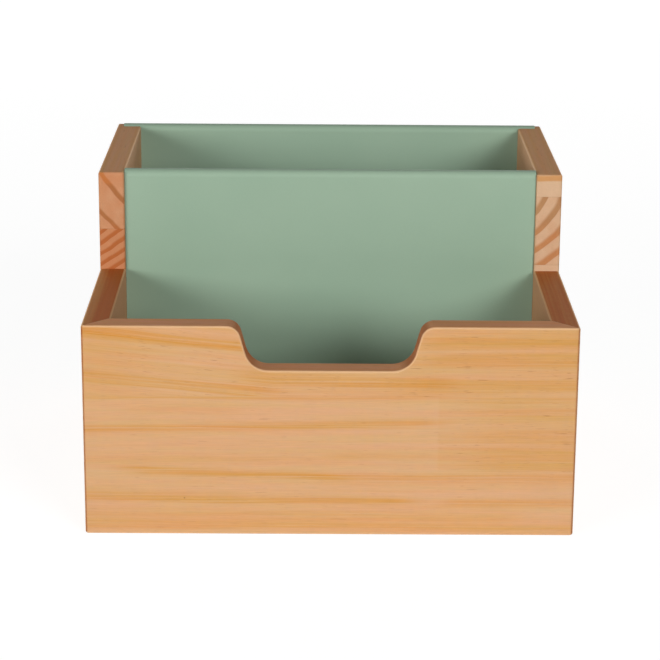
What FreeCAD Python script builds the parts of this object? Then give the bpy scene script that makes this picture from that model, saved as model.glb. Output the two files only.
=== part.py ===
import FreeCAD, Part
import os
import Sketcher
from FreeCAD import Placement, Rotation, Vector

# Two-tier pine desk organizer: a mitred front with a finger scoop, two stepped sides,
# and painted middle, back and bottom panels.
# Millimetres, +Z up, front towards -Y, origin on the desk under the middle of the footprint.

doc = FreeCAD.newDocument("desk_organizer")

# Driving sizes
SIZES = {
    # the carcass
    "overall_width": 270,
    "overall_depth": 260,
    "front_height": 120,
    "rear_height": 178,
    "step_from_front": 118,
    "board_thickness": 15,
    "corner_radius": 2,
    "arris_radius": 1.2,
    # the finger scoop in the front board
    "scoop_top_width": 101,
    "scoop_floor_width": 87,
    "scoop_depth": 25,
    "scoop_lip_radius": 8,
    "scoop_floor_radius": 13,
    # the middle panel, its barefaced tongues and their stopped housings
    "middle_thickness": 9,
    "middle_setback": 2,
    "middle_tongue": 5,
    "housing_depth": 5,
    "housing_stop": 12,
    # the bottom panel and its grooves
    "bottom_thickness": 6,
    "bottom_lift": 8,
    "groove_depth": 5,
    # the back panel and its rebates
    "back_thickness": 9,
    "rebate_cheek": 4,
    "back_lift": 1,
    # every panel
    "panel_proud": 1,
    "panel_edge_flat": 1,
    "fit_gap": 0.1,
    # the loose tongues in the mitres
    "tongue_thickness": 4,
    "tongue_width": 12,
    "tongue_from_inside": 7,
    "tongue_foot": 20,
    "tongue_top_cover": 18,
    # the countersunk screws of the back panel
    "screw_length": 25,
    "screw_head_diameter": 6,
    "screw_shank_diameter": 3,
    "screw_head_land": 0.3,
    "screw_point_length": 4,
    "screw_sink": 0.2,
    "screw_from_end": 20,
    "screw_rebate_inset": 5,
    "recess_span": 3.2,
    "recess_slot": 0.8,
    "recess_depth": 1.2,
}
SCREWS_PER_SIDE = 3
COUNTERSINK_ANGLE = 90
MITRE_ANGLE = 45

# Places worked out from the driving sizes
PLACES = {
    "half_width": "Sizes.overall_width / 2",
    "inner_half": "Sizes.overall_width / 2 - Sizes.board_thickness",
    "front_y": "-Sizes.overall_depth / 2",
    "back_y": "Sizes.overall_depth / 2",
    "front_inner_y": "front_y + Sizes.board_thickness",
    "step_y": "front_y + Sizes.step_from_front",
    # the rounded outer corner, halved by the mitre
    "corner_x": "half_width - Sizes.corner_radius",
    "corner_y": "front_y + Sizes.corner_radius",
    "mitre_tip_x": f"half_width - Sizes.corner_radius * (1 - cos({MITRE_ANGLE} deg))",
    "mitre_tip_y": f"front_y + Sizes.corner_radius * (1 - cos({MITRE_ANGLE} deg))",
    # the scoop
    "scoop_top_half": "Sizes.scoop_top_width / 2",
    "scoop_floor_half": "Sizes.scoop_floor_width / 2",
    "scoop_floor_z": "Sizes.front_height - Sizes.scoop_depth",
    # the upright panels, which stand proud of the sides
    "panel_top_z": "Sizes.rear_height + Sizes.panel_proud",
    # the middle panel
    "middle_front_y": "step_y + Sizes.middle_setback",
    "middle_back_y": "middle_front_y + Sizes.middle_thickness",
    "middle_tongue_y": "middle_back_y - Sizes.middle_tongue",
    "middle_foot_z": "Sizes.bottom_lift + Sizes.bottom_thickness",
    "middle_top_half": "inner_half - Sizes.fit_gap",
    "middle_half": "inner_half + Sizes.housing_depth - Sizes.fit_gap",
    "middle_notch_z": "Sizes.rear_height - Sizes.housing_stop - Sizes.fit_gap",
    "middle_edge_radius": "(Sizes.middle_thickness - Sizes.panel_edge_flat) / 2",
    # the back panel
    "rebate_half": "half_width - Sizes.rebate_cheek",
    "back_half": "rebate_half - Sizes.fit_gap",
    "back_front_y": "back_y - Sizes.back_thickness",
    "back_edge_radius": "(Sizes.back_thickness - Sizes.panel_edge_flat) / 2",
    # the bottom panel
    "groove_half": "inner_half + Sizes.groove_depth",
    "groove_front_y": "front_inner_y - Sizes.groove_depth",
    "bottom_half": "groove_half - Sizes.fit_gap",
    "bottom_front_y": "groove_front_y + Sizes.fit_gap",
    "bottom_back_y": "back_front_y - Sizes.fit_gap",
    # the tongues, centred on the mitre
    "tongue_x": f"inner_half + Sizes.tongue_from_inside * cos({MITRE_ANGLE} deg)",
    "tongue_y": f"front_inner_y - Sizes.tongue_from_inside * cos({MITRE_ANGLE} deg)",
    "tongue_height": "Sizes.front_height - Sizes.tongue_top_cover - Sizes.tongue_foot",
    # the screws
    "screw_x": "inner_half + Sizes.screw_rebate_inset",
    "screw_head_y": "back_y - Sizes.screw_sink",
    "screw_run": "Sizes.rear_height - 2 * Sizes.screw_from_end",
    "screw_head_radius": "Sizes.screw_head_diameter / 2",
    "screw_shank_radius": "Sizes.screw_shank_diameter / 2",
    "screw_land_y": "screw_head_y - Sizes.screw_head_land",
    "screw_neck_y": "screw_land_y - (Sizes.screw_head_diameter - Sizes.screw_shank_diameter) / 2",
    "screw_tip_y": "screw_head_y - Sizes.screw_length",
    "screw_point_y": "screw_tip_y + Sizes.screw_point_length",
    "screw_mouth_diameter": "Sizes.screw_head_diameter + 2 * (back_y - screw_land_y + Sizes.fit_gap)",
}


def fill_sheet(name, cells):
    """A sheet with one named cell per row."""
    sheet = doc.addObject("Spreadsheet::Sheet", name)
    for row, (alias, content) in enumerate(cells, start=1):
        sheet.set(f"A{row}", alias)
        sheet.set(f"B{row}", content)
        sheet.setAlias(f"B{row}", alias)
        doc.recompute()


fill_sheet("Sizes", [(alias, str(size)) for alias, size in SIZES.items()])
fill_sheet("Places", [(alias, "=" + formula) for alias, formula in PLACES.items()])


# Sketch and shape terms; an index is the sketcher's own number for an axis or for a point of an edge
ON_AXIS = "0"
H_AXIS_INDEX, V_AXIS_INDEX = -1, -2
START_INDEX, END_INDEX, CENTRE_INDEX = 1, 2, 3
TOLERANCE = 1e-4


def number(term):
    """The value of a signed cell name, such as "-Places.inner_half", or of ON_AXIS."""
    if term == ON_AXIS:
        return 0.0
    sign = -1.0 if term.startswith("-") else 1.0
    sheet, alias = term.lstrip("-").split(".")
    return sign * float(getattr(doc.getObject(sheet), alias))


def bind(feature, **formulas):
    """Bind a feature's properties to formulas; double underscores stand for dots."""
    for prop, formula in formulas.items():
        feature.setExpression(prop.replace("__", "."), formula)


def new_body(label):
    body = doc.addObject("PartDesign::Body", label)
    body.Label = label
    return body


def origin_plane(body, role):
    return next(item for item in body.Origin.OriginFeatures if item.Role == role)


def new_sketch(body, name, plane, offset):
    """An empty sketch on one of the body's own planes, moved along its x, y or z by formulas."""
    sketch = body.newObject("Sketcher::SketchObject", name)
    sketch.AttachmentSupport = (origin_plane(body, plane), [""])
    sketch.MapMode = "FlatFace"
    for axis, formula in offset.items():
        sketch.setExpression("AttachmentOffset.Base." + axis, formula)
    sketch.Visibility = False
    return sketch


def hold(sketch, axis, edge, point, value, formula):
    """Hold a point of an edge at a distance from the sketch's origin."""
    place = sketch.addConstraint(Sketcher.Constraint(axis, H_AXIS_INDEX, START_INDEX, edge, point, value))
    sketch.setExpression(f"Constraints[{place}]", formula)


def outline(body, name, plane, corners, arcs=(), **offset):
    """A closed sketch through corners that are given as pairs of cell names.

    arcs holds (index of the corner where the arc starts, centre x, centre y, radius name);
    offset holds formulas that move the sketch along its own x, y or z.
    """
    sketch = new_sketch(body, name, plane, offset)
    points = [Vector(number(x), number(y), 0) for x, y in corners]
    rounded = {start: (Vector(number(x), number(y), 0), radius) for start, x, y, radius in arcs}
    ends = []
    for i, start in enumerate(points):
        end = points[(i + 1) % len(points)]
        if i not in rounded:
            edge = sketch.addGeometry(Part.LineSegment(start, end))
            ends.append((edge, START_INDEX, END_INDEX))
            continue
        centre, radius = rounded[i]
        turns_left = (start - centre).cross(end - centre).z > 0
        first, last = (start, end) if turns_left else (end, start)
        circle = Part.Circle(centre, Vector(0, 0, 1), (start - centre).Length)
        edge = sketch.addGeometry(Part.ArcOfCircle(circle, circle.parameter(first), circle.parameter(last)))
        ends.append((edge, START_INDEX, END_INDEX) if turns_left else (edge, END_INDEX, START_INDEX))
        limit = sketch.addConstraint(Sketcher.Constraint("Radius", edge, (start - centre).Length))
        sketch.setExpression(f"Constraints[{limit}]", radius)
    for i, (edge, head, tail) in enumerate(ends):
        next_edge, next_head, _ = ends[(i + 1) % len(ends)]
        sketch.addConstraint(Sketcher.Constraint("Coincident", edge, tail, next_edge, next_head))
        for axis, term in zip(("DistanceX", "DistanceY"), corners[i]):
            if term == ON_AXIS:
                line = V_AXIS_INDEX if axis == "DistanceX" else H_AXIS_INDEX
                sketch.addConstraint(Sketcher.Constraint("PointOnObject", edge, head, line))
                continue
            hold(sketch, axis, edge, head, number(term), term)
    doc.recompute()
    return sketch


def pad(body, sketch, length, backwards=False):
    feature = body.newObject("PartDesign::Pad", sketch.Name + "_pad")
    feature.Profile = sketch
    feature.Reversed = backwards
    bind(feature, Length=length)
    doc.recompute()
    return feature


def round_edges(body, name, radius, wanted):
    """Round the edges of the body's tip that pass the test."""
    base = body.Tip
    names = [f"Edge{i}" for i, edge in enumerate(base.Shape.Edges, start=1) if wanted(edge)]
    feature = body.newObject("PartDesign::Fillet", name)
    feature.Base = (base, names)
    bind(feature, Radius=radius)
    doc.recompute()


def check_cut(body, name, before):
    if not body.Shape.Volume < before:
        raise RuntimeError(f"{name} cuts nothing from {body.Label}")


def cut_block(body, name, low, size, turn=0):
    """Cut a block from the body: its low corner, its size, its turn about Z."""
    before = body.Shape.Volume
    block = body.newObject("PartDesign::SubtractiveBox", name)
    block.Placement = Placement(Vector(), Rotation(Vector(0, 0, 1), turn))
    bind(block, Placement__Base__x=low[0], Placement__Base__y=low[1], Placement__Base__z=low[2],
         Length=size[0], Width=size[1], Height=size[2])
    doc.recompute()
    check_cut(body, name, before)


def near(value, term):
    return abs(value - number(term)) < TOLERANCE


def flat_at(edge, axis, term):
    """True when the whole edge lies at one coordinate."""
    box = edge.BoundBox
    return near(getattr(box, axis + "Min"), term) and near(getattr(box, axis + "Max"), term)


def is_arc(edge):
    return edge.Curve.TypeId == "Part::GeomCircle"


# Spaces that the panels and tongues take out of the boards

def cut_bottom_groove(body):
    cut_block(body, body.Label + "_bottom_groove",
              ("-Places.groove_half", "Places.groove_front_y", "Sizes.bottom_lift - Sizes.fit_gap"),
              ("2 * Places.groove_half", "Places.back_y - Places.groove_front_y",
               "Sizes.bottom_thickness + 2 * Sizes.fit_gap"))


def cut_middle_housing(body):
    half = "Places.inner_half + Sizes.housing_depth"
    cut_block(body, body.Label + "_middle_housing",
              (f"-({half})", "Places.middle_tongue_y - Sizes.fit_gap", "Sizes.bottom_lift"),
              (f"2 * ({half})", "Sizes.middle_tongue + 2 * Sizes.fit_gap",
               "Sizes.rear_height - Sizes.housing_stop - Sizes.bottom_lift"))


def cut_back_rebate(body):
    cut_block(body, body.Label + "_back_rebate",
              ("-Places.rebate_half", "Places.back_front_y", ON_AXIS),
              ("2 * Places.rebate_half", "Sizes.back_thickness", "Sizes.rear_height"))


def tongue_corner(hand, gap):
    """Low corner and turn of a tongue, or with a gap of its slot, lying across the mitre."""
    wide = f"(Sizes.tongue_width + 2 * {gap})"
    thick = f"(Sizes.tongue_thickness + 2 * {gap})"
    longer = f"({wide} + {thick}) / 2 * cos({MITRE_ANGLE} deg)"
    shorter = f"({wide} - {thick}) / 2 * cos({MITRE_ANGLE} deg)"
    if hand < 0:
        corner = (f"-Places.tongue_x - {longer}", f"Places.tongue_y + {shorter}")
    else:
        corner = (f"Places.tongue_x - {shorter}", f"Places.tongue_y - {longer}")
    return corner, (wide, thick), hand * MITRE_ANGLE


def cut_tongue_slot(body, name, hand):
    (x, y), (wide, thick), turn = tongue_corner(hand, "Sizes.fit_gap")
    cut_block(body, name, (x, y, "Sizes.tongue_foot - Sizes.fit_gap"),
              (wide, thick, "Places.tongue_height + 2 * Sizes.fit_gap"), turn)


def screw_height(i):
    return f"Sizes.screw_from_end + {i} * Places.screw_run / {SCREWS_PER_SIDE - 1}"


# Front board: mitred at both ends, with a finger scoop in its top edge

def make_front_board():
    body = new_body("front_board")
    plan = outline(body, "front_plan", "XY_Plane", (
        ("-Places.inner_half", "Places.front_inner_y"),
        ("-Places.mitre_tip_x", "Places.mitre_tip_y"),
        ("-Places.corner_x", "Places.front_y"),
        ("Places.corner_x", "Places.front_y"),
        ("Places.mitre_tip_x", "Places.mitre_tip_y"),
        ("Places.inner_half", "Places.front_inner_y"),
    ), arcs=(
        (1, "-Places.corner_x", "Places.corner_y", "Sizes.corner_radius"),
        (3, "Places.corner_x", "Places.corner_y", "Sizes.corner_radius"),
    ))
    board = pad(body, plan, "Sizes.front_height")
    scoop = outline(body, "scoop_outline", "XZ_Plane", (
        ("-Places.scoop_top_half", "Sizes.front_height"),
        ("-Places.scoop_floor_half", "Places.scoop_floor_z"),
        ("Places.scoop_floor_half", "Places.scoop_floor_z"),
        ("Places.scoop_top_half", "Sizes.front_height"),
    ))
    cut = body.newObject("PartDesign::Pocket", "scoop")
    cut.Profile = scoop
    cut.Type = "ThroughAll"
    cut.Reversed = True
    doc.recompute()
    check_cut(body, "the scoop", board.Shape.Volume)

    def across(edge):
        return edge.BoundBox.XLength < TOLERANCE and edge.BoundBox.ZLength < TOLERANCE

    def on_lip(edge):
        return across(edge) and near(abs(edge.BoundBox.XMin), "Places.scoop_top_half")

    def on_floor_corner(edge):
        return across(edge) and near(edge.BoundBox.ZMin, "Places.scoop_floor_z")

    round_edges(body, "scoop_lips", "Sizes.scoop_lip_radius", on_lip)
    round_edges(body, "scoop_corners", "Sizes.scoop_floor_radius", on_floor_corner)

    def exposed_arris(edge):
        on_foot = flat_at(edge, "Z", ON_AXIS)
        on_face = flat_at(edge, "Y", "Places.front_y")
        on_inside = flat_at(edge, "Y", "Places.front_inner_y")
        above_foot = edge.BoundBox.ZMin > TOLERANCE
        on_corner = is_arc(edge) and (on_foot or flat_at(edge, "Z", "Sizes.front_height"))
        return on_corner or (on_face and (above_foot or on_foot)) or (on_inside and above_foot)

    round_edges(body, "front_arrises", "Sizes.arris_radius", exposed_arris)
    cut_bottom_groove(body)
    for hand, side in ((-1, "left"), (1, "right")):
        cut_tongue_slot(body, f"front_{side}_slot", hand)


# Side board: mitred in front, stepped on top, grooved for the panels

def make_side_board(label, hand):
    sign = "-" if hand < 0 else ""
    body = new_body(label)
    plan = outline(body, label + "_plan", "XY_Plane", (
        (sign + "Places.inner_half", "Places.front_inner_y"),
        (sign + "Places.mitre_tip_x", "Places.mitre_tip_y"),
        (sign + "Places.half_width", "Places.corner_y"),
        (sign + "Places.half_width", "Places.back_y"),
        (sign + "Places.inner_half", "Places.back_y"),
    ), arcs=(
        (1, sign + "Places.corner_x", "Places.corner_y", "Sizes.corner_radius"),
    ))
    pad(body, plan, "Sizes.rear_height")
    cut_block(body, label + "_step",
              ("-Places.half_width", "Places.front_y", "Sizes.front_height"),
              ("Sizes.overall_width", "Sizes.step_from_front", "Sizes.rear_height - Sizes.front_height"))

    def exposed_arris(edge):
        on_outer = flat_at(edge, "X", sign + "Places.half_width")
        on_inner = flat_at(edge, "X", sign + "Places.inner_half")
        on_foot = flat_at(edge, "Z", ON_AXIS)
        on_top = flat_at(edge, "Z", "Sizes.front_height") or flat_at(edge, "Z", "Sizes.rear_height")
        on_step = flat_at(edge, "Y", "Places.step_y")
        on_back = flat_at(edge, "Y", "Places.back_y")
        step_arris = on_step and edge.BoundBox.ZMax > number("Sizes.front_height") + TOLERANCE
        long_arris = (on_outer and (on_top or on_foot)) or (on_inner and on_top)
        corner_arris = is_arc(edge) and (on_top or on_foot)
        back_arris = on_back and (on_outer or on_top)
        return step_arris or long_arris or corner_arris or back_arris

    round_edges(body, label + "_arrises", "Sizes.arris_radius", exposed_arris)
    cut_bottom_groove(body)
    cut_middle_housing(body)
    cut_back_rebate(body)
    cut_tongue_slot(body, label + "_slot", hand)
    for i in range(SCREWS_PER_SIDE):
        pilot = body.newObject("PartDesign::SubtractiveCylinder", f"{label}_pilot_{i}")
        pilot.Placement = Placement(Vector(), Rotation(Vector(1, 0, 0), 90))
        bind(pilot, Placement__Base__x=sign + "Places.screw_x", Placement__Base__y="Places.back_y",
             Placement__Base__z=screw_height(i),
             Radius="Places.screw_shank_radius + Sizes.fit_gap",
             Height="Sizes.screw_length + Sizes.screw_sink + Sizes.fit_gap")
        doc.recompute()


def long_top_edge(edge):
    """True for the edges along the top of a panel."""
    return flat_at(edge, "Z", "Places.panel_top_z") and edge.BoundBox.YLength < TOLERANCE


# Middle panel: stands on the bottom panel, with a tongue down each end for the stopped housings

def make_middle_panel():
    body = new_body("middle_panel")
    face = outline(body, "middle_face", "XZ_Plane", (
        ("-Places.middle_half", "Places.middle_foot_z"),
        ("Places.middle_half", "Places.middle_foot_z"),
        ("Places.middle_half", "Places.middle_notch_z"),
        ("Places.middle_top_half", "Places.middle_notch_z"),
        ("Places.middle_top_half", "Places.panel_top_z"),
        ("-Places.middle_top_half", "Places.panel_top_z"),
        ("-Places.middle_top_half", "Places.middle_notch_z"),
        ("-Places.middle_half", "Places.middle_notch_z"),
    ), z="-Places.middle_front_y")
    pad(body, face, "Sizes.middle_thickness", backwards=True)
    for name, low_x in (("left_shoulder", "-Places.middle_half"),
                        ("right_shoulder", "Places.middle_top_half")):
        cut_block(body, name, (low_x, "Places.middle_front_y", "Places.middle_foot_z"),
                  ("Places.middle_half - Places.middle_top_half",
                   "Places.middle_tongue_y - Places.middle_front_y",
                   "Places.middle_notch_z - Places.middle_foot_z"))
    round_edges(body, "middle_top_edges", "Places.middle_edge_radius", long_top_edge)


# Back panel: lies in the rebates, screwed on from behind

def make_back_panel():
    body = new_body("back_panel")
    face = outline(body, "back_face", "XZ_Plane", (
        ("-Places.back_half", "Sizes.back_lift"),
        ("Places.back_half", "Sizes.back_lift"),
        ("Places.back_half", "Places.panel_top_z"),
        ("-Places.back_half", "Places.panel_top_z"),
    ), z="-Places.back_front_y")
    pad(body, face, "Sizes.back_thickness", backwards=True)
    round_edges(body, "back_top_edges", "Places.back_edge_radius", long_top_edge)

    centres = new_sketch(body, "screw_centres", "XZ_Plane", {"z": "-Places.back_y"})
    for sign in ("-", ""):
        for i in range(SCREWS_PER_SIDE):
            x = number(sign + "Places.screw_x")
            z = number("Sizes.screw_from_end") + i * number("Places.screw_run") / (SCREWS_PER_SIDE - 1)
            shank = number("Places.screw_shank_radius")
            ring = centres.addGeometry(Part.Circle(Vector(x, z, 0), Vector(0, 0, 1), shank))
            hold(centres, "DistanceX", ring, CENTRE_INDEX, x, sign + "Places.screw_x")
            hold(centres, "DistanceY", ring, CENTRE_INDEX, z, screw_height(i))
    doc.recompute()
    before = body.Shape.Volume
    holes = body.newObject("PartDesign::Hole", "screw_holes")
    holes.Profile = centres
    doc.recompute()
    holes.ThreadType = "None"
    holes.DepthType = "ThroughAll"
    holes.HoleCutType = "Countersink"
    holes.HoleCutCountersinkAngle = COUNTERSINK_ANGLE
    holes.Reversed = True
    bind(holes, Diameter="Sizes.screw_shank_diameter + 2 * Sizes.fit_gap",
         HoleCutDiameter="Places.screw_mouth_diameter")
    doc.recompute()
    check_cut(body, "the screw holes", before)


# Bottom panel: held in the grooves of the front and the sides

def make_bottom_panel():
    body = new_body("bottom_panel")
    plan = outline(body, "bottom_plan", "XY_Plane", (
        ("-Places.bottom_half", "Places.bottom_front_y"),
        ("Places.bottom_half", "Places.bottom_front_y"),
        ("Places.bottom_half", "Places.bottom_back_y"),
        ("-Places.bottom_half", "Places.bottom_back_y"),
    ), z="Sizes.bottom_lift")
    pad(body, plan, "Sizes.bottom_thickness")


# Loose tongue glued across each mitre, hidden below the top

def make_tongue(label, hand):
    (x, y), (wide, thick), turn = tongue_corner(hand, "0")
    tongue = doc.addObject("Part::Box", label)
    tongue.Placement = Placement(Vector(), Rotation(Vector(0, 0, 1), turn))
    bind(tongue, Placement__Base__x=x, Placement__Base__y=y, Placement__Base__z="Sizes.tongue_foot",
         Length=wide, Width=thick, Height="Places.tongue_height")


# Countersunk screws, one column down each side of the back panel

def make_screws():
    body = new_body("back_panel_screws")
    body.AllowCompound = True
    half = outline(body, "screw_half", "XY_Plane", (
        (ON_AXIS, "Places.screw_head_y"),
        ("Places.screw_head_radius", "Places.screw_head_y"),
        ("Places.screw_head_radius", "Places.screw_land_y"),
        ("Places.screw_shank_radius", "Places.screw_neck_y"),
        ("Places.screw_shank_radius", "Places.screw_point_y"),
        (ON_AXIS, "Places.screw_tip_y"),
    ), x="Places.screw_x", z="Sizes.screw_from_end")
    turned = body.newObject("PartDesign::Revolution", "screw_turned")
    turned.Profile = half
    turned.ReferenceAxis = (half, ["V_Axis"])
    turned.Angle = 360
    doc.recompute()
    for name, wide, tall in (("recess_level", "Sizes.recess_span", "Sizes.recess_slot"),
                             ("recess_upright", "Sizes.recess_slot", "Sizes.recess_span")):
        cut_block(body, name,
                  (f"Places.screw_x - {wide} / 2", "Places.screw_head_y - Sizes.recess_depth",
                   f"Sizes.screw_from_end - {tall} / 2"),
                  (wide, "Sizes.recess_depth", tall))
    column = body.newObject("PartDesign::LinearPattern", "screw_column")
    column.TransformMode = "Whole shape"
    column.Direction = (half, ["N_Axis"])
    column.Occurrences = SCREWS_PER_SIDE
    bind(column, Length="Places.screw_run")
    body.Tip = column
    doc.recompute()
    pair = body.newObject("PartDesign::Mirrored", "screw_columns")
    pair.TransformMode = "Whole shape"
    pair.MirrorPlane = (origin_plane(body, "YZ_Plane"), [""])
    body.Tip = pair


make_front_board()
make_side_board("left_side", -1)
make_side_board("right_side", 1)
make_middle_panel()
make_back_panel()
make_bottom_panel()
make_tongue("left_mitre_tongue", -1)
make_tongue("right_mitre_tongue", 1)
make_screws()
doc.recompute()

# Every feature is sound before anything is written
for item in doc.Objects:
    if "Invalid" in item.State or "Error" in item.State:
        raise RuntimeError(f"{item.Name} failed: {item.State}")
pieces = doc.findObjects("PartDesign::Body") + doc.findObjects("Part::Box")
for piece in pieces:
    if piece.Shape.isNull() or not piece.Shape.isValid():
        raise RuntimeError(f"{piece.Label} has no sound shape")

os.makedirs("parts", exist_ok=True)
for piece in pieces:
    piece.Shape.exportStep(f"parts/{piece.Label}.step")
    box = piece.Shape.optimalBoundingBox()
    print(f"{piece.Label}: {len(piece.Shape.Solids)} solid(s), {piece.Shape.Volume:.0f} mm3, {box}")
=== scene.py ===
# %% [markdown]
# A two-tier desk organizer: three pine boards round two open bays, with panels painted sage
# green. The boards and panels come in from the packed CAD model, where every shape is already
# right. This lesson gives them their camera, their light and their finishes, step by step.

# %% Load the frame
import math
from collections import namedtuple

import bpy
from mathutils import Matrix, Vector


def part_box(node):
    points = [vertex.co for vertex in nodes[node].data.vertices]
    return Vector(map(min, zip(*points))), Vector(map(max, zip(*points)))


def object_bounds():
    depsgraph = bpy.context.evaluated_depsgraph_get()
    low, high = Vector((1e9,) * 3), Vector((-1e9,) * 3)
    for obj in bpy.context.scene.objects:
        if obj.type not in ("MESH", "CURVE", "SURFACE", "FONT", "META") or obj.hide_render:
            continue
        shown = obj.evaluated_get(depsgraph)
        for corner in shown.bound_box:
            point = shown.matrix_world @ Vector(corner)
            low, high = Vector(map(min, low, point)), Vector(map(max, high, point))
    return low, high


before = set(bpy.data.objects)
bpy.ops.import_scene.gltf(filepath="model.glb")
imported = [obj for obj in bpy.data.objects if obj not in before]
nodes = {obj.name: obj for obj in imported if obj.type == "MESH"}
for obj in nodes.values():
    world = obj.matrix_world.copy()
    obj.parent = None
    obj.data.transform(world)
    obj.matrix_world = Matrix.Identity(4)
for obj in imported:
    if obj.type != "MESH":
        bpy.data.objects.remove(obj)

MM = 0.001
cad_low, cad_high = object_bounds()
cad_size = (cad_high - cad_low) / MM
print("nodes:", ", ".join(sorted(nodes)))
print(f"CAD box: {cad_size.x:.1f} x {cad_size.y:.1f} x {cad_size.z:.1f} mm")

# %% [markdown]
# The camera stands in front of the organizer and looks down on it with a long lens, as a
# catalogue photographer does, so that the sides hardly converge. It could be aimed with a
# Track To constraint, but turning it by three plain angles also allows the slight tilt of a
# camera that wasn't quite level.

# %% Place the camera
CAMERA_PLACE = Vector((-8.5, -1316.2, 471.7)) * MM
CAMERA_DOWN = math.radians(16.59)
CAMERA_TURN = math.radians(-0.39)
CAMERA_TILT = math.radians(0.43)
LENS_LENGTH = 125.2
SENSOR_WIDTH = 36.0

bpy.ops.object.select_all(action="DESELECT")
bpy.ops.object.camera_add(location=CAMERA_PLACE)
camera = bpy.context.object
aim = Matrix.Rotation(CAMERA_TURN, 3, "Z") @ Matrix.Rotation(math.pi / 2 - CAMERA_DOWN, 3, "X")
camera.rotation_euler = (aim @ Matrix.Rotation(CAMERA_TILT, 3, "Z")).to_euler()
camera.data.lens = LENS_LENGTH
camera.data.sensor_width = SENSOR_WIDTH
bpy.context.scene.camera = camera
print(f"camera: {LENS_LENGTH} mm lens, {math.degrees(CAMERA_DOWN):.1f} degrees down")

# %% [markdown]
# Catalogue pictures of small wooden goods are lit by large softboxes on both sides of the
# camera. Here the right one stands higher and nearer the camera, the left one low and far round,
# so their shadows cross unevenly on the middle panel, and the top edges stay darker than the
# front. Two low boxes behind keep the back readable and hardly touch the tops.

# %% Set up the softboxes
LIT_POINT = Vector((0.0, 0.0, 90.0)) * MM
Softbox = namedtuple("Softbox", "name azimuth elevation distance width height power")
SOFTBOXES = (
    Softbox("left_front_box", -44, 12, 3.0, 1.7, 0.8, 47.0),
    Softbox("right_front_box", 29, 20, 3.0, 1.2, 1.0, 47.0),
    Softbox("left_back_box", -150, 8, 3.0, 1.4, 0.6, 24.0),
    Softbox("right_back_box", 150, 8, 3.0, 1.4, 0.6, 24.0),
)

for box in SOFTBOXES:
    azimuth, elevation = math.radians(box.azimuth), math.radians(box.elevation)
    away = Vector((math.sin(azimuth) * math.cos(elevation),
                   -math.cos(azimuth) * math.cos(elevation), math.sin(elevation)))
    bpy.ops.object.select_all(action="DESELECT")
    bpy.ops.object.light_add(type="AREA", location=LIT_POINT + away * box.distance)
    lamp = bpy.context.object
    lamp.name = box.name
    lamp.rotation_euler = away.to_track_quat("Z", "Y").to_euler()
    lamp.data.shape = "RECTANGLE"
    lamp.data.size = box.width
    lamp.data.size_y = box.height
    lamp.data.energy = box.power
    lamp.visible_camera = False
    print(f"{box.name}: {box.power} W, {box.azimuth} degrees round")

# %% [markdown]
# Every finish below is a node tree. Wiring trees by hand is slow to read, so one small class
# wraps a socket: adding or multiplying two wires makes the Math node that does it, and one
# method makes any other node from its type, its settings and its sockets.

# %% Write shader maths as Python


def set_stops(ramp, stops):
    """Gives a colour ramp its stops, as pairs of a position and a colour."""
    while len(ramp.elements) < len(stops):
        ramp.elements.new(1.0)
    for element, (position, colour) in zip(ramp.elements, stops):
        element.position = position
        element.color = colour


class Wire:
    """A socket of a node tree. Arithmetic on wires adds Math nodes."""

    def __init__(self, tree, socket=None):
        self.tree = tree
        self.socket = socket

    def node(self, kind, settings, sockets, out=0):
        """Adds a node: its type, its settings, then the values or links of its sockets."""
        made = self.tree.nodes.new(kind)
        for name, value in settings.items():
            if name == "stops":
                set_stops(made.color_ramp, value)
            else:
                setattr(made, name, value)
        for key, value in sockets.items():
            if isinstance(value, Wire):
                self.tree.links.new(value.socket, made.inputs[key])
            else:
                made.inputs[key].default_value = value
        return Wire(self.tree, made.outputs[out] if len(made.outputs) else None)

    def math(self, operation, *values):
        return self.node("ShaderNodeMath", {"operation": operation}, dict(enumerate(values)))

    def __add__(self, other):
        return self.math("ADD", self, other)

    def __radd__(self, other):
        return self.math("ADD", other, self)

    def __sub__(self, other):
        return self.math("SUBTRACT", self, other)

    def __rsub__(self, other):
        return self.math("SUBTRACT", other, self)

    def __mul__(self, other):
        return self.math("MULTIPLY", self, other)

    def __rmul__(self, other):
        return self.math("MULTIPLY", other, self)

    def __truediv__(self, other):
        return self.math("DIVIDE", self, other)

    def __rtruediv__(self, other):
        return self.math("DIVIDE", other, self)

    def __pow__(self, other):
        return self.math("POWER", self, other)

    def __rpow__(self, other):
        return self.math("POWER", other, self)

    def __gt__(self, other):
        return self.math("GREATER_THAN", self, other)

    def __lt__(self, other):
        return self.math("LESS_THAN", self, other)

    def __abs__(self):
        return self.math("ABSOLUTE", self)


print("one class for wires:", Wire.__doc__)

# %% [markdown]
# A few moves come back in every finish: a smooth rise from 0 to 1, a mix of two colours, a tint
# laid over a colour. Giving them names keeps the finishes short. Colours go through Mix and
# Vector Math nodes, because a Math node would turn them grey.

# %% Name the common moves


def larger(first, second):
    """The larger of two values."""
    return first.math("MAXIMUM", first, second)


def rise(value, low, high):
    """0 below low, 1 above high, with a smooth rise between."""
    return value.node("ShaderNodeMapRange", {"interpolation_type": "SMOOTHSTEP"},
                      {"Value": value, "From Min": low, "From Max": high})


def ramp(value, stops):
    """A colour from a ramp of stops."""
    return value.node("ShaderNodeValToRGB", {"stops": stops}, {"Fac": value})


def blend(share, first, second, how="MIX"):
    """A colour between two colours."""
    return share.node("ShaderNodeMix", {"data_type": "RGBA", "blend_type": how},
                      {0: share, 6: first, 7: second}, out=2)


def shine(colour, factor):
    """A colour made lighter or darker."""
    return colour.node("ShaderNodeVectorMath", {"operation": "SCALE"}, {0: colour, 3: factor})


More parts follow.
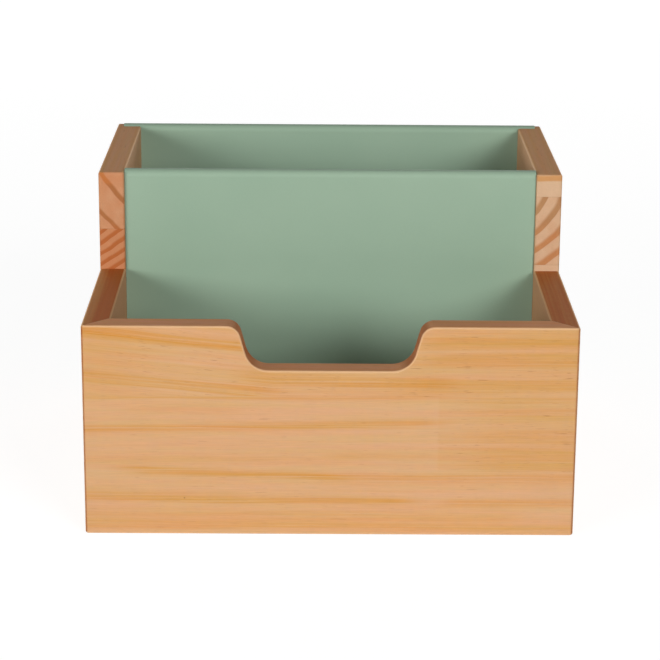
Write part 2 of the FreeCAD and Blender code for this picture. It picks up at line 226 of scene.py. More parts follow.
def stain(colour, tint):
    """A colour seen through a tinted glaze."""
    return colour.node("ShaderNodeVectorMath", {"operation": "MULTIPLY"}, {0: colour, 1: tint})


def srgb(red, green, blue):
    """A picture's colour, 0 to 255, made linear for the shader. A tint past 255 brightens."""
    shares = [value / 255 for value in (red, green, blue)]
    return (*[s / 12.92 if s < 0.04045 else ((s + 0.055) / 1.055) ** 2.4 for s in shares], 1.0)


print(f"a grey of 128 in a picture is {srgb(128, 128, 128)[0]:.3f} in the shader")

# %% [markdown]
# The backdrop is white paper. A floor bright enough to look white would also flood the wood
# with light, so only the rays that reach the camera, directly or by a reflection, see it
# white. To every other ray the room is a dim grey.

# %% Hang the backdrop
WHITE = (1, 1, 1, 1)
ROOM_LIGHT = 0.03


def seen_white(tree):
    """1 for rays that show the backdrop to the camera, 0 for rays that carry light."""
    start = Wire(tree)
    rays = [start.node("ShaderNodeLightPath", {}, {}, out=name)
            for name in ("Is Camera Ray", "Is Glossy Ray", "Is Transmission Ray")]
    return larger(larger(rays[0], rays[1]), rays[2])


world = bpy.data.worlds.new("studio")
world.use_nodes = True
world.node_tree.nodes.clear()
seen = seen_white(world.node_tree)
strength = seen * (1 - ROOM_LIGHT) + ROOM_LIGHT
sky = seen.node("ShaderNodeBackground", {}, {"Color": WHITE, "Strength": strength})
seen.node("ShaderNodeOutputWorld", {}, {"Surface": sky})
bpy.context.scene.world = world
bpy.context.scene.view_settings.view_transform = "Standard"
print(f"backdrop: white to the camera, {ROOM_LIGHT} to the object")

# %% [markdown]
# The floor is the same paper. It glows almost white for the camera, and keeps a share of true
# diffuse shading, so the soft shadow under the organizer stays. It lies a hair below the feet,
# so that the two never fight for the same place.

# %% Lay the floor
FLOOR_GLOW = 0.90
FLOOR_SEEN = 0.25
FLOOR_BOUNCE = 0.92
FLOOR_WIDTH = 12.0
FLOOR_DROP = 0.1 * MM

bpy.ops.object.select_all(action="DESELECT")
bpy.ops.mesh.primitive_plane_add(size=FLOOR_WIDTH, location=(0, 0, -FLOOR_DROP))
floor = bpy.context.object
floor.name = "floor"
paper = bpy.data.materials.new("white_paper")
paper.use_nodes = True
paper.node_tree.nodes.clear()
seen = seen_white(paper.node_tree)
grey = seen * (FLOOR_SEEN - FLOOR_BOUNCE) + FLOOR_BOUNCE
tone = seen.node("ShaderNodeCombineColor", {}, {0: grey, 1: grey, 2: grey})
matte = seen.node("ShaderNodeBsdfDiffuse", {}, {"Color": tone})
glow = seen.node("ShaderNodeEmission", {}, {"Color": WHITE, "Strength": seen * FLOOR_GLOW})
both = seen.node("ShaderNodeAddShader", {}, {0: matte, 1: glow})
seen.node("ShaderNodeOutputMaterial", {}, {"Surface": both})
floor.data.materials.append(paper)
print(f"floor: {FLOOR_WIDTH} m wide, {FLOOR_GLOW} glow")

# %% [markdown]
# A finish starts from the place of each point on the object. The CAD nodes sit at the origin,
# so Object coordinates are the row frame itself; in millimetres they are easy to think in.
# Noise becomes grain, stipple or mottling by the size of its grains along each axis.

# %% Start a finish
Start = namedtuple("Start", "material place x y z normal")


def start_finish(name):
    """A new material with the place of each point in mm, and the way its surface faces."""
    material = bpy.data.materials.new(name)
    material.use_nodes = True
    material.node_tree.nodes.clear()
    tree = Wire(material.node_tree)
    metres = tree.node("ShaderNodeTexCoord", {}, {}, out="Object")
    place = shine(metres, 1 / MM)
    parts = [place.node("ShaderNodeSeparateXYZ", {}, {0: place}, out=i) for i in range(3)]
    normal = tree.node("ShaderNodeNewGeometry", {}, {}, out="Normal")
    return Start(material, place, *parts, normal)


def facing(start, axis):
    """How squarely the surface faces along an axis, from -1 to 1."""
    return start.normal.node("ShaderNodeSeparateXYZ", {}, {0: start.normal}, out="XYZ".index(axis))


def noise(start, size, detail=2.0, roughness=0.5, shift=(0.0, 0.0, 0.0)):
    """Noise from 0 to 1 whose grains have about this size in mm along x, y and z."""
    spread = start.place.node("ShaderNodeVectorMath", {"operation": "MULTIPLY_ADD"},
                              {0: start.place, 1: [1 / s for s in size], 2: shift})
    return spread.node("ShaderNodeTexNoise", {},
                       {"Vector": spread, "Scale": 1.0, "Detail": detail, "Roughness": roughness})


print(f"finishes are measured in mm, {1 / MM:.0f} to the metre")

# %% [markdown]
# A finish ends in a Principled shader. What varies over the surface is wired to its colour,
# roughness and bump; what is the same all over is set on its sockets as a plain number. The
# finished material then takes the place of the plain one in each slot of a CAD node.

# %% End a finish


def end_finish(start, colour, roughness, height, relief, **constants):
    """Wires a Principled shader: relief is the height in mm of the bump."""
    bump = height.node("ShaderNodeBump", {}, {"Strength": 1.0, "Distance": relief * MM, "Height": height})
    sockets = {"Base Color": colour, "Roughness": roughness, "Normal": bump}
    sockets.update({name.replace("_", " "): value for name, value in constants.items()})
    shader = colour.node("ShaderNodeBsdfPrincipled", {}, sockets)
    colour.node("ShaderNodeOutputMaterial", {}, {"Surface": shader})
    return start.material


def dress(finish, *names):
    """Gives CAD nodes a finish in place of the plain one that they came with."""
    for name in names:
        for slot in nodes[name].material_slots:
            slot.material = finish
        print(f"{name}: {finish.name}, {len(finish.node_tree.nodes)} nodes")


print(f"{sum(len(node.material_slots) for node in nodes.values())} slots wait for a finish")

# %% [markdown]
# Pine boards of this kind are edge-glued from staves sawn from different trees, so each stave
# has its own tone and its own growth rings. A ring is a cylinder round the pith: pale earlywood
# that turns to dark latewood and then stops sharply. Cut across, the rings are the arcs of the
# end grain; cut along, the same rings are the streaks of the long faces. Modelling them in
# three dimensions keeps the two faces of a board in step round its edges. No two years are
# alike, so each ring draws its own luck and is darker or fainter by it.

# %% Work out the rings of the staves
LATEWOOD_END = 0.95
GLUE_HALF = 0.1

Stave = namedtuple("Stave", "foot pith_across pith_height ring edge late warmth heart end_warmth")


def by_stave(height, staves, field):
    """The value of one field of the stave that holds each point."""
    total = getattr(staves[0], field)
    for lower, upper in zip(staves, staves[1:]):
        change = getattr(upper, field) - getattr(lower, field)
        if change:
            total = (height > upper.foot) * change + total
    return total


def growth_rings(start, staves, wander, contrast):
    """1 on latewood and 0 on earlywood, less in poor years by as much as the contrast."""
    aside = start.x - by_stave(start.z, staves, "pith_across")
    above = start.z - by_stave(start.z, staves, "pith_height")
    radius = (aside * aside + above * above) ** 0.5 + wander
    turns = (radius - by_stave(start.z, staves, "edge")) / by_stave(start.z, staves, "ring")
    year = turns.math("FLOOR", turns)
    part = turns - year
    share = by_stave(start.z, staves, "late")
    darkening = (part + share * 2 - LATEWOOD_END) / share
    luck = year.node("ShaderNodeTexWhiteNoise", {"noise_dimensions": "1D"}, {"W": year})
    latewood = rise(darkening, 0.0, 1.0) * (1 - rise(part, LATEWOOD_END, 1.0))
    return latewood * (1 - luck * contrast)


def glue_lines(start, staves):
    """1 on the hairline where two staves meet."""
    total = 0.0
    for stave in staves[1:]:
        total = (abs(start.z - stave.foot) < GLUE_HALF) + total
    return total


print(f"latewood stops at {LATEWOOD_END} of each ring")

# %% [markdown]
# A surface tells by the way it faces what it is: a top edge that hands touch, an end where the
# saw has cut across the fibres, or an arris that the sandpaper has rounded, halfway between two
# flat sides. The thin glue line of the mitred corners is a plane at 45 degrees, so there the
# distances from the two outer faces are the same.

# %% Tell the faces of a board apart
TOP_TURN = (0.6, 0.95)
CUT_TURN = (0.25, 0.75)
ARRIS_TURN = (0.10, 0.40)
MITRE_SUM = (cad_high.x + cad_low.y) / MM
MITRE_HALF = 0.16
MITRE_STRENGTH = 0.5


def topside(start):
    """1 on surfaces that face up, 0 on upright ones."""
    return rise(facing(start, "Z"), *TOP_TURN)


def cut_across(start, run):
    """1 where a board is cut across its fibres, 0 along them."""
    return rise(abs(facing(start, run)), *CUT_TURN)


def arris_mask(start, first, second):
    """1 where the surface is turning from facing one axis to facing another."""
    return rise(abs(facing(start, first)) * abs(facing(start, second)), *ARRIS_TURN)


def mitre_line(start):
    """The faint glue line of the mitred corners, 0 elsewhere."""
    return (abs(abs(start.x) + start.y - MITRE_SUM) < MITRE_HALF) * MITRE_STRENGTH


print(f"mitre lines: {2 * MITRE_HALF} mm wide")

# %% [markdown]
# Pine also has small marks: short brown resin canals and a few pin knots. Canals are noise
# drawn out along the board, of which only the peaks show, so a higher limit leaves fewer of
# them. Knots are the middles of Voronoi cells a few centimetres wide.

# %% Scatter the small marks
Canal = namedtuple("Canal", "length width least calm busy")
FINE_CANAL = Canal(7.0, 0.45, 0.66, 0.08, 0.20)
BOLD_CANAL = Canal(11.0, 0.8, 0.72, 0.12, 0.45)
CANAL_EDGE = 0.08
KNOT_CELL = 50.0
KNOT_EDGE = (0.008, 0.018)


def along_board(run, length, across):
    """Grain sizes for noise that is drawn out along a board."""
    return (length, across, across) if run == "X" else (across, length, across)


def resin_canals(start, run, canal, shift, busy):
    """Short dashes along the grain, stronger on a busy board."""
    peaks = noise(start, along_board(run, canal.length, canal.width), detail=1.0, shift=shift)
    dashes = rise(peaks, canal.least, canal.least + CANAL_EDGE)
    return dashes * (canal.calm + canal.busy * busy)


def pin_knots(start, shift):
    """Tiny round specks, a few to a board."""
    spread = start.place.node("ShaderNodeVectorMath", {"operation": "MULTIPLY_ADD"},
                              {0: start.place, 1: (1 / KNOT_CELL,) * 3, 2: shift})
    near = spread.node("ShaderNodeTexVoronoi", {}, {"Vector": spread, "Scale": 1.0})
    return 1 - rise(near, *KNOT_EDGE)


print(f"canals {FINE_CANAL.length} and {BOLD_CANAL.length} mm long, a knot in {KNOT_CELL} mm")

# %% [markdown]
# Planed pine runs from pale to honey to red, and its tone changes along every fibre. The
# long-grain colour is built up as it would be in the wood: a warmth from broad streaks, slow
# drift and fine mottling picks a place on a colour ramp, and latewood stains that tone instead
# of replacing it. A little rosy and mossy drift keeps the board from looking dyed.

# %% Colour the long grain
PALE_PINE = srgb(218, 173, 132)
HONEY_PINE = srgb(211, 158, 96)
RED_PINE = srgb(182, 107, 56)
ORANGE_TINT = srgb(250, 224, 150)
OLIVE_TINT = srgb(247, 231, 170)
ROSY_TINT = srgb(255, 250, 253)
MOSSY_TINT = srgb(251, 255, 249)
STREAK_GRAIN = (170, 2.4)
FIBRE_GRAIN = (16, 0.45)
MOTTLE_GRAIN = (3.2, 3.2, 4.5)
DRIFT_GRAIN = (240, 40)
HUE_GRAIN = (70, 4.0)
STREAK_WARMTH = 0.40
BUSY_WARMTH = 0.5
DRIFT_WARMTH = 0.25
MOTTLE_WARMTH = 0.15
PINE_STOPS = ((0.0, PALE_PINE), (0.5, HONEY_PINE), (1.0, RED_PINE))
OLIVE_RISE = (0.35, 0.65)
MOSSY_RISE = (0.3, 0.7)

Grain = namedtuple("Grain", "run late warmth busy lines arris inside edge_tint end_tone seed")
Texture = namedtuple("Texture", "streaks fibres mottle drift")


def pine_texture(start, run, shift):
    """The noises that all of a board's finish shares, from broad streaks to fine fibres."""
    return Texture(
        noise(start, along_board(run, *STREAK_GRAIN), detail=4.0, roughness=0.6, shift=shift),
        noise(start, along_board(run, *FIBRE_GRAIN), detail=3.0, roughness=0.65, shift=shift),
        noise(start, MOTTLE_GRAIN, shift=shift),
        noise(start, along_board(run, *DRIFT_GRAIN), shift=shift))


def long_grain(start, grain, texture):
    """The colour of a board cut along its fibres."""
    warm = grain.warmth + (texture.streaks - 0.5) * (STREAK_WARMTH + BUSY_WARMTH * grain.busy)
    warm = warm + (texture.drift - 0.5) * DRIFT_WARMTH + (texture.mottle - 0.5) * MOTTLE_WARMTH
    colour = ramp(warm, PINE_STOPS)
    tint = blend(rise(texture.drift, *OLIVE_RISE), ORANGE_TINT, OLIVE_TINT)
    colour = blend(grain.late, colour, tint, "MULTIPLY")
    shift = (2 * grain.seed, grain.seed, grain.seed)
    hue = noise(start, along_board(grain.run, *HUE_GRAIN), detail=3.0, shift=shift)
    return stain(colour, blend(rise(hue, *MOSSY_RISE), ROSY_TINT, MOSSY_TINT))


print(f"long grain: streaks {STREAK_GRAIN[0]} mm long, fibres {FIBRE_GRAIN[1]} mm thick")

# %% [markdown]
# The end grain drinks more varnish than the long grain, so the same rings are much darker
# there: brown in the middle and red low down, where the staves come from nearer the heart of the
# tree. Along the top edge they turn golden, a painted highlight of the lit arris there.

# %% Colour the end grain
END_BROWN = srgb(212, 188, 156)
END_RED = srgb(231, 190, 148)
# A painted highlight: the lit top edge of the end grain, laid on as gold.
END_GOLD_HIGHLIGHT = srgb(243, 210, 160)
END_RED_HEIGHT = 146.0
END_RED_FADE = 6.0
END_HIGHLIGHT_HEIGHT = 171.0
END_HIGHLIGHT_FADE = 2.0


def end_grain(start, grain):
    """The colour of a board cut across its fibres."""
    low = rise(END_RED_HEIGHT - start.z, -END_RED_FADE, END_RED_FADE)
    # Gold along the top edge is a painted highlight.
    high = rise(start.z - END_HIGHLIGHT_HEIGHT, -END_HIGHLIGHT_FADE, END_HIGHLIGHT_FADE)
    tint = blend(high, blend(low, END_BROWN, END_RED), END_GOLD_HIGHLIGHT)
    return blend(grain.late, grain.end_tone, tint, "MULTIPLY")


print(f"end grain: red below {END_RED_HEIGHT} mm, gold above {END_HIGHLIGHT_HEIGHT} mm")

# %% [markdown]
# Now the board is put together in the order in which it was made: the wood with its canals and
# knots, the inner faces painted darker and greyer as painted shade, the top edges that hands and
# sun have changed, the cut ends, the sanded arrises lightened also as a painted highlight, and
# last the fibres and the glue lines. A clear satin varnish lies over it all, so the shine is
# faint, and the fibres can just be felt.

# %% Finish the pine
# Inner faces: a darker, greyer tone that is painted shade of the bays.
INNER_PINE_SHADE = srgb(196, 153, 118)
# A pale tone for the sanded arrises that also serves as a painted highlight on them.
ARRIS_PINE_AND_HIGHLIGHT = srgb(240, 198, 152)
RESIN = srgb(158, 96, 52)
KNOT = srgb(120, 74, 42)
GLUE = srgb(96, 56, 30)
INNER_SHADE_SHARE = 0.75
ARRIS_HIGHLIGHT_SHARE = 0.65
KNOT_SHARE = 0.85
FIBRE_SHADE = 0.24
MOTTLE_SHADE = 0.08
STREAK_SHADE = 0.06
PINE_ROUGHNESS = 0.62
FIBRE_ROUGHNESS = 0.2
LATE_GLOSS = 0.06
FIBRE_HEIGHT = 0.6
LATE_HEIGHT = 0.4
RESIN_DEPTH = 0.5
GLUE_DEPTH = 0.8
PINE_RELIEF = 0.05
PINE_SPECULAR = 0.05


def pine_finish(start, grain):
    """A varnished pine board."""
    run, seed, late = grain.run, grain.seed, grain.late
    shift = (seed, 2 * seed, 3 * seed)
    texture = pine_texture(start, run, shift)
    fine = resin_canals(start, run, FINE_CANAL, shift, grain.busy)
    bold = resin_canals(start, run, BOLD_CANAL, (3 * seed, seed, 2 * seed), grain.busy)
    resin = fine + bold
    colour = blend(resin, long_grain(start, grain, texture), RESIN)
    colour = blend(pin_knots(start, shift) * KNOT_SHARE, colour, KNOT)
    # Inner faces darkened and greyed: painted shade.
    colour = blend(grain.inside * INNER_SHADE_SHARE, colour, INNER_PINE_SHADE)
    colour = blend(topside(start), colour, grain.edge_tint, "MULTIPLY")
    colour = blend(cut_across(start, run), colour, end_grain(start, grain))
    # Arrises lightened: partly pale sanded wood, partly a painted highlight.
    colour = blend(grain.arris * ARRIS_HIGHLIGHT_SHARE, colour, ARRIS_PINE_AND_HIGHLIGHT)

    fibres = texture.fibres - 0.5
    shade = 1 + fibres * FIBRE_SHADE
    shade = shade + (texture.mottle - 0.5) * MOTTLE_SHADE + (texture.streaks - 0.5) * STREAK_SHADE
    colour = blend(grain.lines, shine(colour, shade), GLUE)
    rough = PINE_ROUGHNESS + fibres * FIBRE_ROUGHNESS - late * LATE_GLOSS
    height = texture.fibres * FIBRE_HEIGHT + late * LATE_HEIGHT
    height = height - resin * RESIN_DEPTH - grain.lines * GLUE_DEPTH
    return end_finish(start, colour, rough, height, PINE_RELIEF, Specular_IOR_Level=PINE_SPECULAR)


print(f"pine: roughness {PINE_ROUGHNESS}, relief {PINE_RELIEF} mm")

# %% [markdown]
# The front board is rift-sawn: the rings cross its face as long, nearly level streaks, a few
# broad and orange, the others faint. Each main streak is written down by its height, its slope,
# its width above and below its line, its strength and its reach, as a grainer painting wood by
# hand would lay it. A ring ends sharply in the wood, so the two widths differ.

# %% Lay the streaks of the front board
Streak = namedtuple("Streak", "height slope above below strength first last")
FRONT_STREAKS = (
    # the top row, left of the scoop
    Streak(107.2, 0.0, 4.0, 2.6, 1.05, -150, -40),
    Streak(97.0, 0.0, 9.0, 8.0, 0.22, -150, -92),
    Streak(82.7, 0.0, 3.2, 1.6, 0.74, -150, -30),
    # the top row, under the scoop
    Streak(88.0, -0.01, 6.0, 3.4, 0.72, -48, 62),
    Streak(86.6, 0.0, 1.6, 1.4, 0.18, 0, 62),
    # the top row, right of the scoop
    Streak(118.0, 0.0, 2.0, 2.0, 0.30, 50, 150),
    Streak(111.4, 0.0, 3.4, 2.4, 0.62, 50, 150),
    Streak(102.2, -0.01, 4.2, 3.2, 0.50, 52, 150),
    Streak(87.4, 0.0, 3.5, 2.8, 0.50, 58, 150),
    # the middle row
    Streak(79.3, 0.0, 1.5, 1.5, 0.52, -140, 60),
    Streak(72.5, 0.0, 3.0, 3.0, 0.22, -110, -50),
    Streak(63.8, 0.020, 2.8, 2.0, 0.72, -150, 59),
    Streak(46.2, 0.0, 2.2, 2.0, 0.30, 0, 62),
    Streak(43.2, 0.0, 3.0, 2.4, 0.22, -150, 20),
    # the bottom row
    Streak(34.2, -0.042, 1.6, 2.8, 1.05, -112, 4),
    Streak(34.2, 0.0, 2.0, 4.5, 0.58, 0, 150),
    Streak(17.8, -0.0325, 4.0, 1.7, 0.82, -150, -42),
    Streak(19.8, 0.0, 2.2, 1.8, 0.95, -40, 46),
    Streak(18.8, 0.002, 2.4, 2.0, 0.66, 60, 150),
    Streak(11.0, 0.0, 4.5, 4.0, 0.42, -150, 105),
    Streak(4.4, -0.004, 3.4, 2.2, 0.60, -150, 150),
)
STREAK_FADE = 14


def streak_body(level, x, streak):
    """A streak across the board that fades in and out at its two ends."""
    offset = level - x * streak.slope - streak.height
    bell = offset / ((offset > 0) * (streak.above - streak.below) + streak.below)
    body = bell.math("EXPONENT", bell * bell * -1.0)
    opens = rise(x, streak.first - STREAK_FADE, streak.first + STREAK_FADE)
    closes = rise(x, streak.last - STREAK_FADE, streak.last + STREAK_FADE)
    return body * opens * (1 - closes) * streak.strength


print(f"front board: {len(FRONT_STREAKS)} streaks")

# %% [markdown]
# In the top row of staves the streaks climb to the left. Measuring heights along the grain
# instead of straight up lets every noise of the finish follow that climb. The streaks lean
# back into the board, so its top edge and the scoop cut through them as a saw would. Fine
# threads then break each streak up, because no streak in wood is solid.

# %% Bend the grain of the front board
Row = namedtuple("Row", "foot warmth")
FRONT_ROWS = (Row(0.0, 0.07), Row(37.3, 0.13), Row(80.4, 0.16))
CLIMB_START = -30.0
CLIMB = 0.095
FRONT_LEAN = 0.6
WAVE_GRAIN = (130, 30, 30)
WAVE = 3.0
FRONT_THREADS = (120, 6, 0.9)
THREAD_SHIFT = (5.0, 1.0, 8.0)
FRONT_GAPS = (0.20, 0.62)

wood = start_finish("pine_front")
top_row = wood.z > FRONT_ROWS[2].foot
climb = larger(CLIMB_START - wood.x, 0.0) * top_row * CLIMB
lean = (wood.y - cad_low.y / MM) * FRONT_LEAN
level = wood.z - climb + lean + (noise(wood, WAVE_GRAIN) - 0.5) * WAVE
bent = level.node("ShaderNodeCombineXYZ", {}, {0: wood.x, 1: wood.y, 2: level})
wood = wood._replace(place=bent)
late = 0.0
for streak in FRONT_STREAKS:
    late = streak_body(level, wood.x, streak) + late
threads = noise(wood, FRONT_THREADS, detail=3.0, roughness=0.6, shift=THREAD_SHIFT)
late = late * rise(threads, *FRONT_GAPS)
print(f"front board: streaks climb {CLIMB} left of x = {CLIMB_START} mm")

# %% [markdown]
# The middle row is two staves that meet end to end right of the scoop; the right one is warmer
# and has more resin. The top row is palest left of the scoop. The saw has cut the scoop's flanks
# across the fibres, so they take a dark end-grain tone, and its arrises are sanded and lightened
# like those of the top edge, partly as pale wood and partly as a painted highlight.

# %% Grain the front board
FRONT_EDGE_TINT = srgb(268, 246, 252)
SCOOP_END = srgb(184, 118, 77)
SCOOP_REACH = 60.0
BUTT_JOINT = 59.2
BUTT_HALF = 1
BUTT_WARMTH = 0.10
FAR_WARMTH = 0.14
FAR_REACH = 40
TOP_WARMTH = 0.11
LEFT_END = (-125, -95)
RIGHT_END = (20, 60)
CALM = 0.2
INNER_EDGE = 0.6
FRONT_SEED = 3.0

middle_row = (wood.z > FRONT_ROWS[1].foot) * (wood.z < FRONT_ROWS[2].foot)
beyond_joint = middle_row * rise(wood.x, BUTT_JOINT - BUTT_HALF, BUTT_JOINT + BUTT_HALF)
beyond_warmth = BUTT_WARMTH + FAR_WARMTH * rise(wood.x, BUTT_JOINT, BUTT_JOINT + FAR_REACH)
past_left_end = rise(wood.x, *LEFT_END)
outer = larger(rise(wood.x, *RIGHT_END), 1 - past_left_end)
warmth = beyond_joint * beyond_warmth + by_stave(wood.z, FRONT_ROWS, "warmth")
warmth = top_row * outer * TOP_WARMTH + warmth
busy = larger(beyond_joint, top_row * past_left_end) * (1 - CALM) + CALM
# The front board's inner face, which takes the painted shade.
inside = rise(wood.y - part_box("front_board")[1].y / MM, -INNER_EDGE, 0.0)
# The front's top and scoop arrises, which take the painted highlight.
scoop_arris = arris_mask(wood, "X", "Y") * (abs(wood.x) < SCOOP_REACH)
arris = larger(arris_mask(wood, "Y", "Z"), scoop_arris)
grain = Grain(run="X", late=late, warmth=warmth, busy=busy, lines=mitre_line(wood), arris=arris,
              inside=inside, edge_tint=FRONT_EDGE_TINT, end_tone=SCOOP_END, seed=FRONT_SEED)
dress(pine_finish(wood, grain), "front_board")

# %% [markdown]
# The side boards stand on edge, with the grain running from front to back, so the step in
# front of the upper tier shows their end grain. Each board is four staves high, and the pith of
# each stave is put where the arcs of its end grain point to.

# %% List the staves of the side boards
LEFT_STAVES = (
    Stave(0.0, -165, -10, 8.0, 20.0, 0.30, 0.18, 0.10, 0.50),
    Stave(52.0, -95, 20, 7.0, 30.0, 0.30, 0.28, 0.10, 0.50),
    Stave(96.0, -239, 286, 5.3, 179.4, 0.27, 0.34, 0.42, 0.95),
    Stave(144.2, -22, 253, 14.7, 121.6, 0.10, 0.20, 0.05, 0.75),
)
RIGHT_STAVES = (
    Stave(0.0, 165, 10, 8.0, 20.0, 0.30, 0.20, 0.10, 0.40),
    Stave(60.0, 128, -200, 7.0, 312.9, 0.15, 0.32, 0.56, 0.20),
    Stave(123.8, 88, 182, 8.9, 43.2, 0.24, 0.14, 0.06, 0.30),
    Stave(164.8, 127, 400, 20.0, 206.4, 0.10, 0.20, 0.05, 0.10),
)
Side = namedtuple("Side", "name staves deep_heart seed")
SIDES = (Side("left", LEFT_STAVES, 0.4, 7.0), Side("right", RIGHT_STAVES, 0.05, 11.0))
print("staves:", ", ".join(f"{side.name} {len(side.staves)}" for side in SIDES))

# %% [markdown]
# The rings of a living tree wander a little, and more in the broad lower staves, whose years
# also differ more. On the long faces they break up into threads; at the cut ends each ring is
# whole. On the handled top edges and on the inner faces they have faded.

# %% Draw the rings of the side boards
CALM_HEIGHT = 118.0
CALM_FADE = 20.0
WANDER_GRAIN = (14, 160, 14)
WANDER = 2.5
SWAY_GRAIN = (22, 260, 22)
SWAY = 22.0
POOR_YEAR = 0.8
SIDE_THREADS = (5.0, 140, 1.6)
SIDE_GAPS = (0.30, 0.60)
LEAST_LATE = 0.45
INNER_FADE = 0.5
TOP_FADE = 0.7


def side_latewood(wood, side, inside):
    """The rings of a side board, in threads along its fibres and whole across them."""
    shift = (side.seed,) * 3
    unruly = rise(CALM_HEIGHT - wood.z, 0.0, CALM_FADE)
    wander = (noise(wood, WANDER_GRAIN, shift=shift) - 0.5) * WANDER
    sway = (noise(wood, SWAY_GRAIN, detail=1.0, shift=shift) - 0.5) * SWAY
    rings = growth_rings(wood, side.staves, sway * unruly + wander, unruly * POOR_YEAR)
    threads = noise(wood, SIDE_THREADS, detail=3.0, roughness=0.6, shift=shift)
    threads = (threads - 0.5) * (1 - cut_across(wood, "Y")) + 0.5
    broken = LEAST_LATE + (1 - LEAST_LATE) * rise(threads, *SIDE_GAPS)
    faded = larger(inside * INNER_FADE, topside(wood) * TOP_FADE)
    return rings * broken * (1 - faded)


print(f"rings calm down above {CALM_HEIGHT} mm")

# %% [markdown]
# Towards the inside of the boards the staves turn from pale sapwood to redder heartwood. The
# inner faces themselves are painted darker and greyer by the pine finish, as painted shade of
# the bays. The cut ends have a ground tone of their own, stave by stave, with a soft mottle.

# %% Warm the side boards
SAPWOOD_EDGE = 134.2
SAPWOOD_FADE = 1.5
HEART_EDGE = 128.5
HEART_FADE = 4.0
HEART_TOP = 142.0
END_PALE = srgb(216, 180, 146)
END_WARM = srgb(200, 134, 92)
END_MOTTLE_GRAIN = (9, 60, 9)
END_MOTTLE = 0.5


def side_warmth(wood, side):
    """The warmth of a side board, from its sapwood outside to its heartwood inside."""
    heart = rise(SAPWOOD_EDGE - abs(wood.x), -SAPWOOD_FADE, SAPWOOD_FADE)
    heart = heart * by_stave(wood.z, side.staves, "heart")
    deep = rise(HEART_EDGE - abs(wood.x), -HEART_FADE, HEART_FADE)
    deep = deep * (wood.z < HEART_TOP) * side.deep_heart
    return heart + deep + by_stave(wood.z, side.staves, "warmth")


def side_end_tone(wood, side):
    """The ground tone of a side board's cut ends."""
    mottled = noise(wood, END_MOTTLE_GRAIN, detail=3.0, shift=(side.seed,) * 3)
    warmth = by_stave(wood.z, side.staves, "end_warmth") + (mottled - 0.5) * END_MOTTLE
    return blend(rise(warmth, 0.0, 1.0), END_PALE, END_WARM)


print(f"heartwood starts {cad_high.x / MM - SAPWOOD_EDGE:.1f} mm below the outer faces")

# %% [markdown]
# With rings and warmth at hand, both side boards take the same finish as the front, with the
# grain turned to run from front to back. One loop dresses the two, and only the staves and the
# seed of the noise tell them apart, as two boards from one workshop differ only by their trees.

# %% Grain the side boards
SIDE_EDGE_TINT = srgb(255, 245, 243)
INNER_FACE = 120.0
GLUE_STRENGTH = 0.25
# How much of the pale arris tone, sanded wood and painted highlight, the side boards' arrises take.
SIDE_ARRIS_HIGHLIGHT = 0.7
SIDE_BUSY = 0.5

for side in SIDES:
    wood = start_finish(f"pine_{side.name}")
    inside = rise(INNER_FACE - abs(wood.x), -INNER_EDGE, 0.0)
    lines = glue_lines(wood, side.staves) * GLUE_STRENGTH + mitre_line(wood)
    grain = Grain(run="Y", late=side_latewood(wood, side, inside), warmth=side_warmth(wood, side),
                  busy=SIDE_BUSY, lines=lines, arris=arris_mask(wood, "X", "Z") * SIDE_ARRIS_HIGHLIGHT,
                  inside=inside, edge_tint=SIDE_EDGE_TINT, end_tone=side_end_tone(wood, side),
                  seed=side.seed)
    dress(pine_finish(wood, grain), f"{side.name}_side")

# %% [markdown]
# The panels are fibreboard, rolled with sage green eggshell paint. A roller leaves a fine
# stipple and slightly uneven cover, and the paint is thinnest on the rounded top edges, which
# are lighter also as a painted highlight. One flat green would look like plastic, so noise of
# three sizes stands for cover and stipple.

# %% Paint the panels
SAGE = srgb(155, 180, 157)
# Lighter paint on the rounded top edges: thinner paint and a painted highlight.
SAGE_THIN_AND_LIT = srgb(160, 185, 161)
SAGE_DEEP = srgb(151, 177, 154)
COVER_GRAIN = (70, 70, 70)
STIPPLE_GRAIN = (1.1, 1.1, 1.1)
SPECKLE_GRAIN = (0.5, 0.5, 0.5)
COVER_RISE = (0.3, 0.7)
EASED_TURN = (0.12, 0.4)
THIN_AND_LIT_SHARE = 0.3
STIPPLE_SHADE = 0.05
STIPPLE_ROUGHNESS = 0.12
COVER_ROUGHNESS = 0.1
STIPPLE_HEIGHT = 0.7
SPECKLE_HEIGHT = 0.3
PAINT_ROUGHNESS = 0.55
PAINT_RELIEF = 0.03
PAINT_SPECULAR = 0.22

paint = start_finish("sage_eggshell")
cover = noise(paint, COVER_GRAIN, detail=3.0)
stipple = noise(paint, STIPPLE_GRAIN)
speckle = noise(paint, SPECKLE_GRAIN, detail=1.0)
eased_lit_edge = rise(facing(paint, "Z") * abs(facing(paint, "Y")), *EASED_TURN)
colour = blend(rise(cover, *COVER_RISE), SAGE_DEEP, SAGE)
# The rounded top edges lighter: thinner paint and a painted highlight.
colour = blend(eased_lit_edge * THIN_AND_LIT_SHARE, colour, SAGE_THIN_AND_LIT)
colour = shine(colour, 1 + (stipple - 0.5) * STIPPLE_SHADE)
rough = PAINT_ROUGHNESS + (stipple - 0.5) * STIPPLE_ROUGHNESS + (cover - 0.5) * COVER_ROUGHNESS
height = stipple * STIPPLE_HEIGHT + speckle * SPECKLE_HEIGHT
sage = end_finish(paint, colour, rough, height, PAINT_RELIEF, Specular_IOR_Level=PAINT_SPECULAR)
dress(sage, "middle_panel", "back_panel", "bottom_panel")

# %% [markdown]
# The loose tongues in the mitres are bare birch plywood: three veneers, two of them with the
# grain running the same way, and a thin dark glue line on each side of the core. The layers
# are counted along the diagonal of the corner, in steps of one veneer.

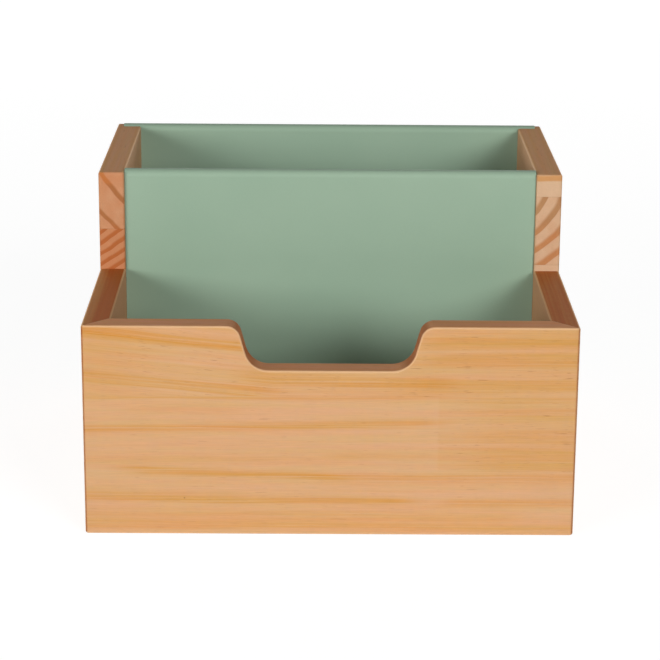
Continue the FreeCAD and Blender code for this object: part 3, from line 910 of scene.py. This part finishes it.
# %% Veneer the tongues
BIRCH = srgb(222, 196, 158)
BIRCH_CORE = srgb(202, 168, 126)
PLY_GLUE = srgb(120, 84, 54)
PLY_GLUE_SHARE = 0.8
VENEER = 4.0 / 3
VENEER_GRAIN = (1.2, 1.2, 24)
VENEER_SHADE = 0.2
SEAM_EDGE = (0.44, 0.5)
VENEER_ROUGHNESS = 0.15
PLY_ROUGHNESS = 0.66
PLY_RELIEF = 0.06
PLY_SPECULAR = 0.2

ply = start_finish("birch_plywood")
depth = (ply.y - abs(ply.x)) * math.sqrt(0.5)
middle = (cad_low.y / MM - cad_high.x / MM) * math.sqrt(0.5)
layers = (depth - middle) / VENEER
layer = layers.math("FLOOR", layers)
odd = layer.math("PINGPONG", layer, 1.0)
seam = rise(abs(layers - layer - 0.5), *SEAM_EDGE)
veneer = noise(ply, VENEER_GRAIN, detail=3.0)
colour = shine(blend(odd, BIRCH, BIRCH_CORE), 1 + (veneer - 0.5) * VENEER_SHADE)
colour = blend(seam * PLY_GLUE_SHARE, colour, PLY_GLUE)
rough = PLY_ROUGHNESS + (veneer - 0.5) * VENEER_ROUGHNESS
birch = end_finish(ply, colour, rough, veneer, PLY_RELIEF, Specular_IOR_Level=PLY_SPECULAR)
dress(birch, "left_mitre_tongue", "right_mitre_tongue")

# %% [markdown]
# Six countersunk screws hold the back. Their zinc plating is bright but faintly cloudy, and
# the cross recess is darker and rougher than the head. Its depth alone tells it from the head,
# so one material does for both.

# %% Plate the screws
ZINC = srgb(206, 207, 203)
ZINC_CLOUD = srgb(176, 180, 180)
RECESS_SHADE = srgb(96, 97, 96)
RECESS_SHARE = 0.7
RECESS_START = 0.35
RECESS_FADE = 0.3
CLOUD_GRAIN = (1.6, 1.6, 1.6)
RUB_GRAIN = (0.25, 1.5, 2.5)
CLOUD_ROUGHNESS = 0.2
RECESS_ROUGHNESS = 0.2
ZINC_ROUGHNESS = 0.30
ZINC_RELIEF = 0.02

zinc = start_finish("zinc_plate")
cloud = noise(zinc, CLOUD_GRAIN, detail=3.0)
rubs = noise(zinc, RUB_GRAIN)
recess_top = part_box("back_panel_screws")[1].y / MM - RECESS_START
sunk = rise(recess_top - zinc.y, 0.0, RECESS_FADE)
colour = blend(sunk * RECESS_SHARE, blend(cloud, ZINC, ZINC_CLOUD), RECESS_SHADE)
rough = ZINC_ROUGHNESS + (cloud - 0.5) * CLOUD_ROUGHNESS + sunk * RECESS_ROUGHNESS
plated = end_finish(zinc, colour, rough, rubs, ZINC_RELIEF, Metallic=1.0)
dress(plated, "back_panel_screws")

# %% [markdown]
# The finishes add nothing to the size of the part.
